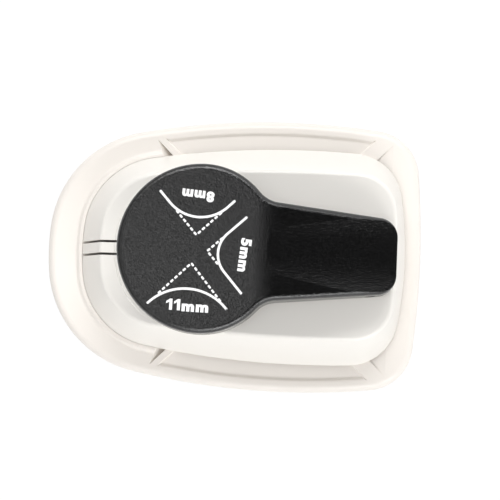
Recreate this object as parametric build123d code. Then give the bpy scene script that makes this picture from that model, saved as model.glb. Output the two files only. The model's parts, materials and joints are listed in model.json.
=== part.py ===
from build123d import *
import math
import os
from dataclasses import dataclass

# Desk corner rounder punch: a palm lever drives three corner punches of different radii through one die
# plate. Millimetres, +Z up, the desk is Z = 0. +X points from the round nose to the lever's hinge, +Y to the
# left side of a user who stands at the nose. The origin is the middle of the footprint.

os.makedirs("parts", exist_ok=True)

OVERRUN = 1.0
RUN_FIT = 0.05
SEAT_FIT = 0.02
CLEAR = 0.3


@dataclass(frozen=True)
class ShellOutline:
    """Plan outline of a moulded shell: a blunt nose, round shoulders, bowed sides and a bowed rear."""

    nose_x: float
    rear_x: float
    half_width: float
    widest_x: float
    nose_radius: float
    shoulder_share: float
    side_radius: float
    rear_radius: float
    corner_radius: float

    @property
    def shoulder_radius(self):
        """Radius of the round shoulders beside the nose, a share of the half width."""
        return self.half_width * self.shoulder_share


# Overall plan
base_length = 105.7
base_width = 76.7
base_outline = ShellOutline(
    nose_x=-base_length / 2,
    rear_x=base_length / 2,
    half_width=base_width / 2,
    widest_x=15.0,
    nose_radius=68.0,
    shoulder_share=0.813,
    side_radius=210.0,
    rear_radius=239.0,
    corner_radius=13.3,
)

# Base frame
foot_standoff = 0.8
skirt_wall = 2.4
table_height = 12.0
deck_thickness = 3.8
rim_rise = 0.6
rim_width = 3.0
rim_slope_run = 1.4
rim_round = 2.2
guide_rise = 1.4
strip_edge_chamfer = 0.35
ledge_width = 9.5
ledge_thickness = 2.0
seat_lip_gap = 0.05
seat_lip_width = 0.6
seat_lip_run = 1.4
seat_lip_rise = 0.15
rear_ramp_inset = 8.95
rear_ramp_run = 4.0
nose_hollow_inset = 6.3
nose_strip_heading = 135.0
hollow_spread = 23.0
hollow_slope = 48.0
hollow_reach = 9.0
finger_notch_radius = 6.5
soft_step_shares = ((0, 0), (0.1, 0.25), (0.5, 0.5), (0.9, 0.75), (1, 1))

# Paper corners and their cutting radii. A corner is the point that the sheet's corner reaches in its guide.
press_x = 8.2
side_corner_y = 3.7
rear_corner_offset = 2.75
nose_strip_width = 2.0
small_radius = 5.0
middle_radius = 8.0
large_radius = 11.0
guide_reach = 90.0

# Punches, die plate and stripper
punch_backing = 0.6
punch_rest_lift = 0.3
punch_pocket_depth = 5.0
die_thickness = 2.5
die_length = 25.4
die_width = 26.4
die_offset_x = 0.4
die_corner = 2.0
die_screw_inset_x = 2.3
nose_die_screw_y = 8.5
rear_die_screw_y = 11.2
stripper_thickness = 2.0
stripper_length = 40.0
stripper_width = 41.0
stripper_offset_x = 0.2
stripper_corner = 4.0
stripper_screw_inset = 2.6
nose_stripper_screw_y = 12.0
press_stroke = 4.0

# Carrier, posts and springs
carrier_spare = 2.6
carrier_thickness = 9.0
carrier_nose_x = 0.5
carrier_nose_radius = 13.6
carrier_lug_radius = 6.2
carrier_edge_round = 0.8
post_radius = 1.5
nose_post_x = -7.0
rear_post_run = 13.9
post_top_gap = 1.5
spring_wire = 0.7
spring_radius = 2.6
spring_turns = 4.0
spring_bore_radius = 3.5
spring_bore_depth = 4.0
wear_length = 8.0
wear_width = 15.0
wear_thickness = 1.6
wear_recess = 0.6
wear_corner = 1.2

# Upper housing
nose_shelf = 9.75
rear_shelf = 4.55
nose_batter = 6.45
rear_batter = 3.3
housing_outline = ShellOutline(
    nose_x=base_outline.nose_x + nose_shelf,
    rear_x=base_outline.rear_x - rear_shelf,
    half_width=30.4,
    widest_x=19.7,
    nose_radius=63.0,
    shoulder_share=0.74,
    side_radius=255.0,
    rear_radius=110.0,
    corner_radius=14.2,
)
crown_outline = ShellOutline(
    nose_x=housing_outline.nose_x + nose_batter,
    rear_x=housing_outline.rear_x - rear_batter,
    half_width=23.3,
    widest_x=22.0,
    nose_radius=59.0,
    shoulder_share=0.74,
    side_radius=500.0,
    rear_radius=160.0,
    corner_radius=11.0,
)
housing_height = 21.6
housing_wall = 2.0
crown_round = 1.4
nose_slope_run = 21.1
nose_slope_radius = 70.0
pad_margin = 1.6
pad_edge_round = 0.4
slit_width = 0.65
slit_spacing = 3.5
slit_length = 13.5
boss_radius = 2.9
boss_height = 10.0
nose_boss_run = 17.1
nose_boss_y = 13.0
rear_boss_inset = 7.1
pusher_slot_side_gap = 1.4
pusher_slot_travel_gap = 1.9

# Lever and its hinge
hinge_inset = 6.4
hinge_rise = 3.5
hinge_pin_radius = 1.5
ear_radius = 3.0
ear_inner_y = 3.6
ear_thickness = 2.6
disc_run = 34.4
disc_radius = 22.8
disc_waist_share = 0.877
disc_top = 55.0
tail_end_gap = 0.9
tail_root_half_width = 15.4
tail_end_half_width = 9.65
tail_end_top = 45.6
flat_top_run = 17.7
tail_slope_round = 30.0
tail_corner = 5.0
neck_round = 8.0
lever_edge_round = 1.6
lever_wall = 2.0
lever_ceiling = 2.2
lever_draft = 2.0
skirt_gap = 0.6
skirt_slope = 9.5
dish_radius = 52.0
dish_depth = 0.9
dish_tilt = 1.6
pusher_thickness = 4.0
pusher_width = 12.0
rib_thickness = 1.4
rib_spacing = 12.0
rib_lift = 2.0
rib_end_gap = 5.0

# Screws, all self-tapping with a domed head and a cross recess
housing_screw_radius = 1.2
housing_head_radius = 2.3
housing_screw_length = 13.0
die_screw_radius = 0.9
die_head_radius = 1.7
die_screw_length = 3.4
punch_screw_radius = 0.65
punch_head_radius = 1.3
punch_screw_length = 7.0
stripper_screw_length = 5.6
head_height_share = 0.75
recess_share = 0.45

# Chip tray and feet
tray_thickness = 1.6
tray_wall = 1.4
tray_depth = 3.4
tray_side_inset = 1.0
tray_hinge_inset = 2.4
tray_hinge_rise = 1.8
tray_pin_radius = 0.8
knuckle_radius = 1.7
knuckle_width = 4.0
knuckle_spacing = 20.0
bar_end_width = 3.0
foot_radius = 3.4
foot_recess = 0.4
foot_edge_round = 0.3
foot_inset = 6.1
nose_foot_heading = 130.9
rear_foot_run = 14.4

# Places along the part that follow from the sizes above
nose_slope_start_x = housing_outline.nose_x + nose_slope_run
nose_boss_x = housing_outline.nose_x + nose_boss_run
disc_x = housing_outline.nose_x + disc_run
tail_slope_start_x = disc_x + flat_top_run
tail_end_x = crown_outline.rear_x - tail_end_gap
hinge_x = tail_end_x - hinge_inset
rear_foot_x = base_outline.rear_x - rear_foot_run
nose_land_x = press_x + side_corner_y - nose_strip_width * math.sqrt(2)
rear_corner_x = press_x + rear_corner_offset
pusher_x = press_x + rear_corner_offset / 2

# Levels that follow from the sizes above
deck_underside = table_height - deck_thickness
rim_top = table_height + rim_rise
seat_height = table_height + guide_rise
die_underside = table_height - die_thickness
stripper_top = seat_height + stripper_thickness
carrier_bottom = stripper_top + press_stroke + carrier_spare
carrier_top = carrier_bottom + carrier_thickness
wear_top = carrier_top + wear_thickness - wear_recess
housing_top = seat_height + housing_height
housing_ceiling = housing_top - housing_wall
hinge_z = housing_top + hinge_rise
skirt_bottom = housing_top + skirt_gap
punch_tip = seat_height + punch_rest_lift
punch_head = carrier_bottom + punch_pocket_depth


def turned(point, angle):
    """A plan point turned about the origin."""
    cosine, sine = math.cos(math.radians(angle)), math.sin(math.radians(angle))
    return (point[0] * cosine - point[1] * sine, point[0] * sine + point[1] * cosine)


def crossing(centre_a, radius_a, centre_b, radius_b, end):
    """The crossing of two circles that lies further to one end along X: -1 is the nose, 1 the rear."""
    span_x, span_y = centre_b[0] - centre_a[0], centre_b[1] - centre_a[1]
    span = math.hypot(span_x, span_y)
    along = (radius_a ** 2 - radius_b ** 2 + span ** 2) / (2 * span)
    across = math.sqrt(radius_a ** 2 - along ** 2)
    foot_x = centre_a[0] + along * span_x / span
    foot_y = centre_a[1] + along * span_y / span
    shift_x, shift_y = -across * span_y / span, across * span_x / span
    pair = [(foot_x + side * shift_x, foot_y + side * shift_y) for side in (1, -1)]
    return max(pair, key=lambda point: end * point[0])


def on_circle(centre, radius, towards):
    """The point of a circle in the direction of another point."""
    gap_x, gap_y = towards[0] - centre[0], towards[1] - centre[1]
    gap = math.hypot(gap_x, gap_y)
    return (centre[0] + radius * gap_x / gap, centre[1] + radius * gap_y / gap)


def arc_about(centre, start, end):
    """The short arc from start to end about a centre."""
    radius = math.dist(centre, start)
    middle = ((start[0] + end[0]) / 2, (start[1] + end[1]) / 2)
    return ThreePointArc(start, on_circle(centre, radius, middle), end)


def mirrored(point):
    """A plan point's twin on the other side."""
    return (point[0], -point[1])


def shell_face(outline, inset=0):
    """Flat face of a shell outline, drawn in by an inset."""
    nose_centre = (outline.nose_x + outline.nose_radius, 0)
    rear_centre = (outline.rear_x - outline.rear_radius, 0)
    side_centre = (outline.widest_x, outline.half_width - outline.side_radius)
    shoulder_centre = crossing(
        nose_centre, outline.nose_radius - outline.shoulder_radius,
        side_centre, outline.side_radius - outline.shoulder_radius, -1,
    )
    corner_centre = crossing(
        rear_centre, outline.rear_radius - outline.corner_radius,
        side_centre, outline.side_radius - outline.corner_radius, 1,
    )
    shoulder_radius = outline.shoulder_radius - inset
    corner_radius = outline.corner_radius - inset
    start = on_circle(shoulder_centre, -shoulder_radius, nose_centre)
    shoulder_end = on_circle(shoulder_centre, -shoulder_radius, side_centre)
    corner_start = on_circle(corner_centre, -corner_radius, side_centre)
    corner_end = on_circle(corner_centre, -corner_radius, rear_centre)
    half = [
        arc_about(shoulder_centre, start, shoulder_end),
        arc_about(side_centre, shoulder_end, corner_start),
        arc_about(corner_centre, corner_start, corner_end),
    ]
    far_half = [
        arc_about(mirrored(corner_centre), mirrored(corner_end), mirrored(corner_start)),
        arc_about(mirrored(side_centre), mirrored(corner_start), mirrored(shoulder_end)),
        arc_about(mirrored(shoulder_centre), mirrored(shoulder_end), mirrored(start)),
    ]
    rear_arc = ThreePointArc(corner_end, (outline.rear_x - inset, 0), mirrored(corner_end))
    nose_arc = ThreePointArc(mirrored(start), (outline.nose_x + inset, 0), start)
    return make_face(Wire(half + [rear_arc] + far_half + [nose_arc]))


def raised(face, bottom, top):
    """A flat face on the ground plane made a prism between two heights."""
    return extrude(Pos(0, 0, bottom) * face, amount=top - bottom, dir=(0, 0, 1))


def soft_step(outline, low_inset, high_inset, bottom, top):
    """A volume whose side runs in an S from one inset of an outline to another, between two heights."""
    sections = []
    for height_share, run_share in soft_step_shares:
        inset = low_inset + run_share * (high_inset - low_inset)
        sections.append(Pos(0, 0, bottom + height_share * (top - bottom)) * shell_face(outline, inset))
    return loft(sections, ruled=True)


def side_prism(points, half_width):
    """A closed outline in X and Z drawn out to both sides of the middle plane."""
    face = make_face(Polyline([(x, 0, z) for x, z in points], close=True))
    return extrude(face, amount=half_width, dir=(0, 1, 0), both=True)


def cylinder(x, y, bottom, top, radius):
    """An upright cylinder by its two end heights."""
    return Pos(x, y, (bottom + top) / 2) * Cylinder(radius, top - bottom)


def block(x_low, x_high, y_low, y_high, bottom, top):
    """A box by its six faces."""
    middle = ((x_low + x_high) / 2, (y_low + y_high) / 2, (bottom + top) / 2)
    return Pos(*middle) * Box(x_high - x_low, y_high - y_low, top - bottom)


def cross_rod(x, z, y_low, y_high, radius):
    """A rod that lies across the part."""
    return Pos(x, (y_low + y_high) / 2, z) * Rot(90, 0, 0) * Cylinder(radius, y_high - y_low)


def rounded_plate(x_middle, length, width, corner, bottom, top):
    """A flat plate with round corners, centred across the part."""
    return raised(Pos(x_middle, 0) * RectangleRounded(length, width, corner), bottom, top)


# Where a sheet's corner stops, which way the sheet lies from it, and the radius that is cut there
corner_stations = {
    "punch_8mm": ((press_x, side_corner_y), 90, middle_radius),
    "punch_11mm": ((press_x, -side_corner_y), -90, large_radius),
    "punch_5mm": ((rear_corner_x, 0), 0, small_radius),
}


def sheet_corner_face(corner, heading):
    """The ground that a sheet's square corner covers, seen from above."""
    square = Pos(guide_reach / 2, guide_reach / 2) * Rectangle(guide_reach, guide_reach)
    return Pos(*corner) * Rot(0, 0, heading - 45) * square


def punch_face(corner, heading, radius, margin=0):
    """Section of a punch: the waste of a square corner outside its arc, with a backing, grown by a margin."""
    side = radius + punch_backing + 2 * margin
    middle = (radius - punch_backing) / 2
    blank = Pos(middle, middle) * Rectangle(side, side)
    section = blank - Pos(radius, radius) * Circle(radius - margin)
    return Pos(*corner) * Rot(0, 0, heading - 45) * section


def sheet_prism(name, bottom, top):
    """The sheet's ground at one station, made a prism."""
    corner, heading, _ = corner_stations[name]
    return raised(sheet_corner_face(corner, heading), bottom, top)


def rear_web_point(run):
    """A point on the middle line of the left rear guide web, by its run along X from the press line."""
    web_offset = (side_corner_y - rear_corner_offset) / 2
    return (press_x + run, web_offset + run)


def screw(radius, head_radius, length):
    """A screw that points up: the seat of its head is at the origin and the head hangs below it."""
    head_height = head_radius * head_height_share
    shank = cylinder(0, 0, 0, length, radius)
    head = cylinder(0, 0, -head_height, 0, head_radius)
    head = fillet(head.edges().group_by(Axis.Z)[0], head_height * recess_share)
    arm = head_radius * recess_share
    depth = head_height * recess_share
    slot = block(-arm, arm, -arm / 3, arm / 3, -head_height - OVERRUN, depth - head_height)
    return shank + head - slot - Rot(0, 0, 90) * slot


def as_node(pieces):
    """Several loose pieces that share one file."""
    return Compound(children=pieces)


# Places of the screws, posts and feet
die_x = press_x + die_offset_x
stripper_x = press_x + stripper_offset_x
post_places = {
    "nose": (nose_post_x, 0),
    "left": rear_web_point(rear_post_run),
    "right": mirrored(rear_web_point(rear_post_run)),
}
rear_boss_place = rear_web_point(housing_outline.half_width - rear_boss_inset)
boss_places = [(nose_boss_x, side * nose_boss_y) for side in (1, -1)]
boss_places += [rear_boss_place, mirrored(rear_boss_place)]
nose_die_screw_x = die_x - die_length / 2 + die_screw_inset_x
rear_die_screw_x = die_x + die_length / 2 - die_screw_inset_x
die_screw_places = [(nose_die_screw_x, side * nose_die_screw_y) for side in (1, -1)]
die_screw_places += [(rear_die_screw_x, side * rear_die_screw_y) for side in (1, -1)]
nose_stripper_screw_x = stripper_x - stripper_length / 2 + stripper_screw_inset
rear_stripper_screw_x = stripper_x + stripper_length / 2 - stripper_screw_inset
rear_stripper_place = rear_web_point(rear_stripper_screw_x - press_x)
stripper_screw_places = [(nose_stripper_screw_x, side * nose_stripper_screw_y) for side in (1, -1)]
stripper_screw_places += [rear_stripper_place, mirrored(rear_stripper_place)]
foot_side_centre = (base_outline.widest_x, base_outline.half_width - base_outline.side_radius)
foot_shoulder_centre = crossing(
    (base_outline.nose_x + base_outline.nose_radius, 0),
    base_outline.nose_radius - base_outline.shoulder_radius,
    foot_side_centre,
    base_outline.side_radius - base_outline.shoulder_radius,
    -1,
)
nose_foot_shift = turned((base_outline.shoulder_radius - foot_inset, 0), nose_foot_heading)
nose_foot = (foot_shoulder_centre[0] + nose_foot_shift[0], foot_shoulder_centre[1] + nose_foot_shift[1])
rear_foot_path = base_outline.side_radius - foot_inset
rear_foot_rise = math.sqrt(rear_foot_path ** 2 - (rear_foot_x - foot_side_centre[0]) ** 2)
rear_foot = (rear_foot_x, foot_side_centre[1] + rear_foot_rise)
foot_places = {
    ("nose", "left"): nose_foot,
    ("nose", "right"): mirrored(nose_foot),
    ("rear", "left"): rear_foot,
    ("rear", "right"): mirrored(rear_foot),
}

tray_hinge_x = base_outline.rear_x - ledge_width - tray_hinge_inset
tray_hinge_z = foot_standoff + tray_hinge_rise
knuckle_outer_y = knuckle_spacing / 2 + knuckle_width / 2
bar_end_y = knuckle_outer_y + CLEAR + bar_end_width
tray_rear_x = tray_hinge_x - knuckle_radius * math.sqrt(2) - CLEAR
punch_screw_seat = carrier_top - wear_recess - CLEAR - punch_head_radius * head_height_share


def guide_flare(name):
    """Slanted band that takes the sharp top edge off the two strips beside a window."""
    corner, heading, _ = corner_stations[name]
    back = turned((-strip_edge_chamfer * math.sqrt(2), 0), heading)
    wide_corner = (corner[0] + back[0], corner[1] + back[1])
    flare = loft([
        Pos(0, 0, rim_top - strip_edge_chamfer) * sheet_corner_face(corner, heading),
        Pos(0, 0, rim_top) * sheet_corner_face(wide_corner, heading),
    ], ruled=True)
    return flare - sheet_prism(name, 0, seat_height)


def nose_hollow(side):
    """Dark hollow beside a nose strip: level with the land at its tip near the rim, deepest where the strip
    meets the housing."""
    tip_y = base_outline.half_width - nose_hollow_inset
    tip_x = nose_land_x - tip_y
    fall = hollow_reach * math.tan(math.radians(hollow_slope))
    wedge = make_face(Polyline([
        (0, 0, rim_top),
        (0, hollow_reach, rim_top - fall),
        (0, hollow_reach, rim_top + guide_rise),
        (0, 0, rim_top + guide_rise),
    ], close=True))
    prism = extrude(wedge, amount=guide_reach, dir=(1, 0, 0))
    hollow = Pos(tip_x, tip_y) * Rot(0, 0, nose_strip_heading + 180 - hollow_spread) * prism
    if side < 0:
        hollow = mirror(hollow, about=Plane.XZ)
    return hollow & raised(sheet_corner_face((nose_land_x, 0), 180), 0, seat_height + OVERRUN)


def make_base_frame():
    """Base with its skirt, paper table, guides, rim, die bed and the ledge that carries feet and tray."""
    window_top = seat_height + OVERRUN
    body = raised(shell_face(base_outline), foot_standoff, rim_top)
    body = fillet(body.edges().group_by(Axis.Z)[-1], rim_round)
    inner_rim = shell_face(base_outline, rim_width)
    body += raised(shell_face(housing_outline), table_height - OVERRUN, seat_height)

    window_space = soft_step(base_outline, rim_width + rim_slope_run, rim_width, table_height, rim_top)
    window_space += raised(inner_rim, rim_top, window_top)
    land_space = raised(inner_rim - shell_face(housing_outline), 0, window_top)
    for name in ("punch_8mm", "punch_11mm"):
        body -= sheet_prism(name, table_height, window_top) & window_space
        body -= guide_flare(name) & land_space
    ramp_top_x = base_outline.rear_x - rear_ramp_inset
    slot_end_x = base_outline.rear_x + OVERRUN
    rear_slot = side_prism([
        (0, table_height),
        (ramp_top_x - rear_ramp_run, table_height),
        (ramp_top_x, rim_top),
        (slot_end_x, rim_top),
        (slot_end_x, window_top),
        (0, window_top),
    ], base_width / 2)
    body -= sheet_prism("punch_5mm", 0, window_top) & rear_slot

    lip_top = seat_height + seat_lip_rise
    lip_crest = -seat_lip_gap - seat_lip_width
    lip = soft_step(housing_outline, lip_crest - seat_lip_run, lip_crest, rim_top, lip_top)
    lip -= raised(shell_face(housing_outline, -seat_lip_gap), 0, window_top)
    nose_ground = sheet_corner_face((nose_land_x, 0), 180)
    lip &= raised(nose_ground & shell_face(base_outline, rim_round), 0, window_top)
    body += lip
    moat = raised(inner_rim - shell_face(housing_outline, housing_wall / 2), 0, window_top)
    for side in (1, -1):
        body -= nose_hollow(side) & moat

    body -= raised(shell_face(base_outline, skirt_wall), foot_standoff + ledge_thickness, deck_underside)
    bar_front_x = tray_hinge_x - knuckle_radius
    opening_ground = Pos(bar_front_x - base_length / 2, 0) * Rectangle(base_length, base_width)
    opening = shell_face(base_outline, ledge_width) & opening_ground
    body -= raised(opening, 0, foot_standoff + ledge_thickness + OVERRUN)
    bed_length, bed_width = die_length + 2 * SEAT_FIT, die_width + 2 * SEAT_FIT
    body -= rounded_plate(die_x, bed_length, bed_width, die_corner, deck_underside - OVERRUN, table_height)

    bar_top = tray_hinge_z + knuckle_radius
    bar_rear_x = base_outline.rear_x - ledge_width + OVERRUN
    bar = block(bar_front_x, bar_rear_x, -bar_end_y, bar_end_y, foot_standoff, bar_top)
    body += fillet(bar.edges().filter_by(Axis.Y).group_by(Axis.Z)[-1], tray_pin_radius)
    pocket_rear_x = tray_hinge_x + knuckle_radius + CLEAR
    for side in (1, -1):
        middle = side * knuckle_spacing / 2
        half = knuckle_width / 2 + CLEAR
        body -= block(bar_front_x - OVERRUN, pocket_rear_x, middle - half, middle + half, 0, bar_top + OVERRUN)
    bore_half = bar_end_y + OVERRUN
    body -= cross_rod(tray_hinge_x, tray_hinge_z, -bore_half, bore_half, tray_pin_radius + SEAT_FIT)

    ledge_cut_top = foot_standoff + ledge_thickness + OVERRUN
    body -= cylinder(base_outline.nose_x, 0, 0, ledge_cut_top, finger_notch_radius)
    tab_half = finger_notch_radius / 2 + CLEAR
    tab_end_x = base_outline.nose_x + ledge_width + OVERRUN
    body -= block(base_outline.nose_x, tab_end_x, -tab_half, tab_half, 0, ledge_cut_top)
    for place in foot_places.values():
        body -= cylinder(*place, 0, foot_standoff + foot_recess, foot_radius + SEAT_FIT)
    for place in post_places.values():
        body -= cylinder(*place, deck_underside - OVERRUN, window_top, post_radius + SEAT_FIT)
    for place in boss_places:
        body -= cylinder(*place, deck_underside - OVERRUN, window_top, housing_screw_radius + SEAT_FIT)
    for place in die_screw_places:
        body -= cylinder(*place, table_height - OVERRUN, window_top, die_screw_radius + SEAT_FIT)
    for place in stripper_screw_places:
        body -= cylinder(*place, deck_underside - OVERRUN, window_top, die_screw_radius + SEAT_FIT)
    for corner, heading, radius in corner_stations.values():
        face = punch_face(corner, heading, radius, RUN_FIT + SEAT_FIT)
        body -= raised(face, die_underside - OVERRUN, window_top)
    return body


def housing_profile(drop, overrun):
    """Side view of the housing's crown, lowered by a wall: flat, then bending down to the nose."""
    top = housing_top - drop
    reach = nose_slope_start_x - housing_outline.nose_x + overrun
    fall = nose_slope_radius - math.sqrt(nose_slope_radius ** 2 - reach ** 2)
    half_reach = reach / 2
    half_fall = nose_slope_radius - math.sqrt(nose_slope_radius ** 2 - half_reach ** 2)
    rear = housing_outline.rear_x + overrun
    nose = nose_slope_start_x - reach
    bottom = seat_height - overrun
    crown_start, crown_end = (nose, 0, top - fall), (nose_slope_start_x, 0, top)
    crown = ThreePointArc(crown_start, (nose_slope_start_x - half_reach, 0, top - half_fall), crown_end)
    rest = Polyline([crown_end, (rear, 0, top), (rear, 0, bottom), (nose, 0, bottom), crown_start])
    face = make_face(Wire([crown] + rest.edges()))
    return extrude(face, amount=base_width, dir=(0, 1, 0), both=True)


def housing_body(inset, drop):
    """Drafted housing volume, drawn in by a wall."""
    shell = loft([
        Pos(0, 0, seat_height) * shell_face(housing_outline, inset),
        Pos(0, 0, housing_top) * shell_face(crown_outline, inset),
    ], ruled=True)
    return shell & housing_profile(drop, OVERRUN)


def make_upper_housing():
    """Drafted hollow housing with its pad, hinge ears, pusher slot, screw bosses and nose tongue."""
    outer = housing_body(0, 0)
    crown_edges = [
        edge for edge in outer.edges()
        if edge.center().Z > housing_ceiling - housing_wall * 3
        and abs(edge.tangent_at(0.5).Z) < recess_share
        and not is_across(edge)
    ]
    rounded = fillet(crown_edges, crown_round)
    cavity = housing_body(housing_wall, housing_wall)
    floor_cut = raised(shell_face(housing_outline, housing_wall), seat_height - OVERRUN, seat_height)
    shell = rounded - cavity - floor_cut

    pad_disc = cylinder(disc_x, 0, housing_ceiling - housing_wall, housing_top, disc_radius + pad_margin)
    pad_ground = raised(shell_face(crown_outline, crown_round), housing_ceiling - housing_wall, housing_top)
    pad = fillet(pad_disc.edges().group_by(Axis.Z)[-1], pad_edge_round) & pad_ground
    shell += pad - housing_body(housing_wall, housing_wall)

    for x, y in boss_places:
        boss_top = housing_ceiling if x < disc_x else seat_height + boss_height
        shell += cylinder(x, y, seat_height, boss_top, boss_radius) & outer
        bore_top = seat_height + boss_height
        shell -= cylinder(x, y, seat_height - OVERRUN, bore_top, housing_screw_radius + SEAT_FIT)

    for side in (1, -1):
        y_ends = sorted((side * ear_inner_y, side * (ear_inner_y + ear_thickness)))
        ear = cross_rod(hinge_x, hinge_z, *y_ends, ear_radius)
        ear += block(hinge_x - ear_radius, hinge_x + ear_radius, *y_ends, housing_ceiling, hinge_z)
        shell += ear
    shell -= cross_rod(hinge_x, hinge_z, -base_width / 2, base_width / 2, hinge_pin_radius + RUN_FIT)

    slot_x_low = pusher_x - pusher_thickness / 2 - pusher_slot_side_gap
    slot_x_high = pusher_x + pusher_thickness / 2 + pusher_slot_travel_gap
    slot_half = pusher_width / 2 + pusher_slot_side_gap
    slot_z = (housing_ceiling - OVERRUN, housing_top + OVERRUN)
    slot = block(slot_x_low, slot_x_high, -slot_half, slot_half, *slot_z)
    shell -= fillet(slot.edges().filter_by(Axis.Z), pusher_slot_side_gap)

    slit_start = housing_outline.nose_x - OVERRUN
    slit_end = housing_outline.nose_x + slit_length
    for side in (1, -1):
        slit_middle = side * slit_spacing / 2
        shell -= block(
            slit_start, slit_end, slit_middle - slit_width / 2, slit_middle + slit_width / 2,
            seat_height - OVERRUN, housing_top + OVERRUN,
        )
    return shell


def is_across(edge):
    """True for an edge that runs straight across the part, as where the nose slope starts."""
    tangent = edge.tangent_at(0.5)
    return edge.geom_type == GeomType.LINE and abs(tangent.Y) > 1 - recess_share


def disc_face(inset):
    """Plan outline of the palm disc: a half circle at the nose that tightens a little towards the neck."""
    top = (disc_x, disc_radius - inset)
    waist_radius = disc_radius * disc_waist_share
    waist_centre = (disc_x, disc_radius - waist_radius)
    tip = (disc_x + math.sqrt((waist_radius - inset) ** 2 - waist_centre[1] ** 2), 0)
    sides = [arc_about(waist_centre, top, tip), arc_about(mirrored(waist_centre), tip, mirrored(top))]
    nose = ThreePointArc(mirrored(top), (disc_x - disc_radius + inset, 0), top)
    return make_face(Wire(sides + [nose]))


def lever_face(inset=0):
    """Plan outline of the lever: a disc, a neck with round inner corners and a tapered tail."""
    disc = disc_face(inset)
    tail = make_face(Polyline([
        (disc_x, tail_root_half_width - inset),
        (tail_end_x - inset, tail_end_half_width - inset),
        (tail_end_x - inset, inset - tail_end_half_width),
        (disc_x, inset - tail_root_half_width),
    ], close=True))
    outline = disc + tail
    necks = [v for v in outline.vertices() if disc_x + disc_radius / 2 < v.X < tail_end_x - inset - OVERRUN]
    outline = fillet(necks, neck_round + inset)
    ends = outline.vertices().group_by(Axis.X)[-1]
    return fillet(ends, tail_corner - inset)


def tail_half_width(x):
    """Half width of the tail's plan at a place along its length."""
    share = (x - disc_x) / (tail_end_x - disc_x)
    return tail_root_half_width + share * (tail_end_half_width - tail_root_half_width)


def skirt_height(x):
    """Height of the lever's lower edge at a place along its length."""
    return skirt_bottom + max(hinge_x - x, 0) * math.tan(math.radians(skirt_slope))


def lever_top(x):
    """Height of the tail's top plane at a place along its length."""
    share = (x - tail_slope_start_x) / (tail_end_x - tail_slope_start_x)
    return disc_top - share * (disc_top - tail_end_top)


def lever_profile(drop, bottom_drop):
    """Side view of the lever: flat over the disc, sloping along the tail, lower edge rising to the nose."""
    nose = disc_x - disc_radius - OVERRUN * 3
    rear = tail_end_x + OVERRUN * 3
    top = [(nose, disc_top - drop), (tail_slope_start_x, disc_top - drop), (rear, lever_top(rear) - drop)]
    bottom = [(rear, skirt_height(rear) - bottom_drop), (hinge_x, skirt_height(hinge_x) - bottom_drop)]
    bottom += [(nose, skirt_height(nose) - bottom_drop)]
    face = make_face(Polyline([(x, 0, z) for x, z in top + bottom], close=True))
    bend = [v for v in face.vertices() if abs(v.X - tail_slope_start_x) < OVERRUN]
    face = fillet(bend, tail_slope_round)
    return extrude(face, amount=base_width, dir=(0, 1, 0), both=True)


def lever_body(inset, drop, bottom_drop):
    """Lever volume, drawn in by a wall: the plan outline with a little draft, cut to the side view."""
    flared = extrude(
        Pos(0, 0, disc_top) * lever_face(inset),
        amount=disc_top - housing_ceiling,
        dir=(0, 0, -1),
        taper=-lever_draft,
    )
    return flared & lever_profile(drop, bottom_drop)


def make_press_lever():
    """Hollow lever with a rounded top edge, a thumb dish in the tail, a pusher and stiffening ribs."""
    outer = lever_body(0, 0, 0)
    rim = [
        edge for edge in outer.edges()
        if abs(edge.center().Z - min(lever_top(max(edge.center().X, tail_slope_start_x)), disc_top)) < OVERRUN
        and not is_across(edge)
    ]
    outer = fillet(rim, lever_edge_round)
    slope = math.degrees(math.atan((disc_top - tail_end_top) / (tail_end_x - tail_slope_start_x)))
    dish_axis_z = lever_top(tail_end_x) + (dish_radius - dish_depth) / math.cos(math.radians(slope))
    dish = Pos(tail_end_x, 0, dish_axis_z) * Rot(0, slope + dish_tilt + 90, 0) * Cylinder(dish_radius, base_length)
    outer -= dish

    cavity = lever_body(lever_wall, lever_ceiling, OVERRUN)
    shell = outer - cavity

    inside = lever_body(lever_wall / 2, lever_ceiling / 2, 0)
    pusher_bottom = wear_top + CLEAR
    pusher_end = pusher_thickness / 2
    pusher = cross_rod(pusher_x, pusher_bottom + pusher_end, -pusher_width / 2, pusher_width / 2, pusher_end)
    pusher += block(
        pusher_x - pusher_end, pusher_x + pusher_end, -pusher_width / 2, pusher_width / 2,
        pusher_bottom + pusher_end, disc_top - lever_ceiling / 2,
    )
    shell += pusher & side_prism([
        (disc_x, pusher_bottom - OVERRUN), (tail_end_x, pusher_bottom - OVERRUN),
        (tail_end_x, lever_top(tail_end_x) - lever_ceiling / 2),
        (tail_slope_start_x, disc_top - lever_ceiling / 2), (disc_x, disc_top - lever_ceiling / 2),
    ], base_width / 2)

    rib_start = disc_x - disc_radius / 2
    rib_end = hinge_x - ear_radius - rib_end_gap
    rib_low = [(rib_end, skirt_height(rib_end) + rib_lift), (rib_start, skirt_height(rib_start) + rib_lift)]
    for side in (1, -1):
        rib_plane = side * (rib_spacing - rib_thickness) / 2
        rib = block(
            rib_start, rib_end, rib_plane - rib_thickness / 2, rib_plane + rib_thickness / 2,
            housing_top, disc_top,
        )
        rib &= side_prism([(rib_start, disc_top), (rib_end, disc_top)] + rib_low, base_width / 2)
        shell += rib & inside

    boss_y = ear_inner_y + ear_thickness + CLEAR
    for side in (1, -1):
        y_ends = sorted((side * boss_y, side * tail_end_half_width))
        shell += cross_rod(hinge_x, hinge_z, *y_ends, ear_radius - CLEAR)
    shell -= cross_rod(hinge_x, hinge_z, -base_width / 2, base_width / 2, hinge_pin_radius + SEAT_FIT)
    return shell


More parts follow.
